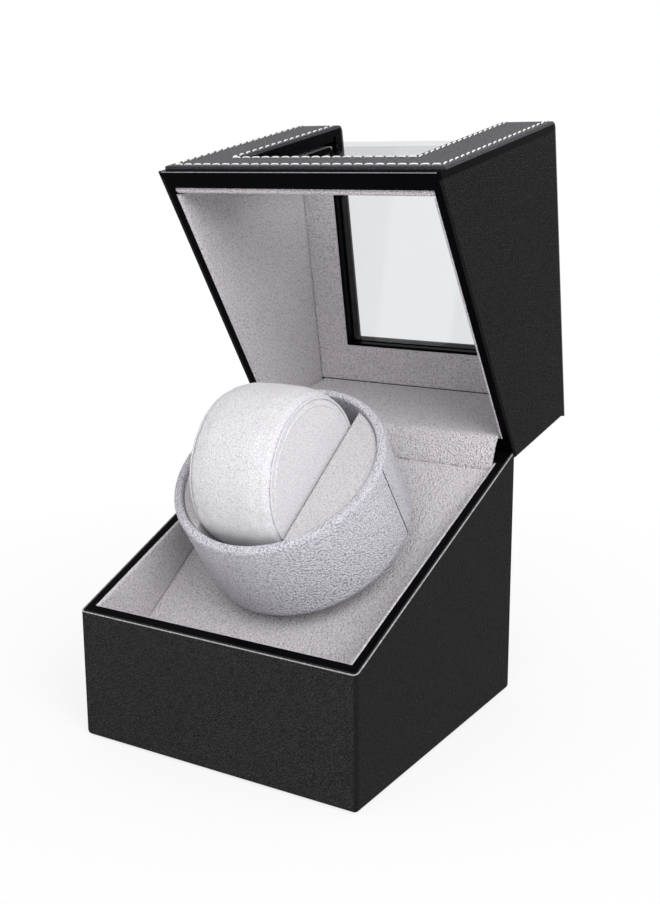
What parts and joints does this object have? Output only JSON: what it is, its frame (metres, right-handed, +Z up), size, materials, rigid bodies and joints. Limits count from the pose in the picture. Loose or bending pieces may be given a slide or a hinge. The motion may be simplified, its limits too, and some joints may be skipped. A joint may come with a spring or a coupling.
{
  "type": "watch winder box",
  "caption": "Wedge-cut leather-covered box with a hinged windowed lid, a sloping lined deck and a motor-driven cup that turns a removable cushion to wind a wristwatch.",
  "frame": {"origin": "middle of the underside of the felt pad that the box stands on", "axes": "+X to the right of someone facing the box, -Y towards them (the box's low front), +Z up"},
  "size_m": [0.12, 0.1754, 0.228],
  "materials": {
    "black_lacquer": "piano-black gloss lacquer on fibreboard",
    "black_leather": "matte fine-pebble black leather",
    "bare_board": "bare fibreboard",
    "lining_suede": "warm grey suede lining",
    "cup_suede": "pale grey suede",
    "cushion_suede": "pale grey suede over foam",
    "felt": "black felt",
    "clear_acrylic": "clear polished acrylic",
    "steel": "plated steel",
    "brass": "satin brass",
    "white_plastic": "natural acetal",
    "black_plastic": "black moulded plastic",
    "rocker_plastic": "black glossy switch cap",
    "circuit_board": "green circuit board with parts",
    "wire": "insulated wire"
  },
  "bodies": {
    "base": {"base_left_board": "black_lacquer", "base_right_board": "black_lacquer", "base_front_board": "black_lacquer", "base_rear_board": "black_lacquer", "base_leather": "black_leather", "felt_pad": "felt", "floor_board": "bare_board", "corner_blocks": "bare_board", "floor_screws": "steel", "deck_board": "bare_board", "deck_lining": "lining_suede", "base_left_lining": "lining_suede", "base_right_lining": "lining_suede", "base_front_lining": "lining_suede", "hinge_gusset": "lining_suede", "hinge_base_leaves": "brass", "hinge_pins": "steel", "hinge_base_screws": "steel", "spindle_bush": "brass", "thrust_washer": "white_plastic", "motor_bracket": "steel", "bracket_standoffs": "steel", "bracket_screws": "steel", "gearbox": "steel", "motor_can": "steel", "board_posts": "black_plastic", "control_board": "circuit_board", "power_jack": "black_plastic", "switch_housing": "black_plastic", "motor_lead": "wire", "switch_lead": "wire"},
    "lid": {"lid_left_board": "black_lacquer", "lid_right_board": "black_lacquer", "lid_rear_board": "black_lacquer", "lid_front_frame": "black_lacquer", "lid_top_frame": "black_lacquer", "window_pane": "clear_acrylic", "window_bead": "black_lacquer", "lid_front_leather": "black_leather", "lid_leather": "black_leather", "lid_front_liner": "lining_suede", "lid_top_liner": "lining_suede", "lid_left_lining": "lining_suede", "lid_right_lining": "lining_suede", "lid_rear_lining": "lining_suede", "hinge_lid_leaves": "brass", "hinge_lid_screws": "steel"},
    "cup": {"cup_shell": "black_plastic", "cup_sleeve": "cup_suede", "cup_left_cheek": "cup_suede", "cup_right_cheek": "cup_suede", "cup_hub": "black_plastic", "spindle": "steel", "hub_screw": "steel", "spindle_clip": "steel", "output_gear": "white_plastic"},
    "cushion": {"cushion": "cushion_suede"},
    "pinion": {"motor_pinion": "white_plastic", "gearbox_shaft": "steel"},
    "power_rocker": {"power_rocker": "rocker_plastic"}
  },
  "joints": [
    {"name": "lid_hinge", "type": "hinge", "parent": "base", "child": "lid", "pos_m": [0, 0.0605, 0.0985], "axis": [1, 0, 0], "range_deg": [0, 80], "deforming": ["hinge_gusset"]},
    {"name": "cup_spin", "type": "hinge", "parent": "base", "child": "cup", "pos_m": [0, 0.0097, 0.06485], "axis": [0, -0.5734, 0.8192], "continuous": true},
    {"name": "pinion_spin", "type": "hinge", "parent": "base", "child": "pinion", "pos_m": [0.02885, 0.0097, 0.06485], "axis": [0, -0.5734, 0.8192], "continuous": true},
    {"name": "cushion_lift", "type": "slide", "parent": "cup", "child": "cushion", "axis": [0, -0.5734, 0.8192], "range_m": [0, 0.004]},
    {"name": "power_switch", "type": "hinge", "parent": "base", "child": "power_rocker", "pos_m": [-0.026, 0.0614, 0.028], "axis": [1, 0, 0], "range_deg": [-20, 0]}
  ],
  "couplings": [
    {"joint": "pinion_spin", "follows": "cup_spin", "ratio": -5}
  ]
}
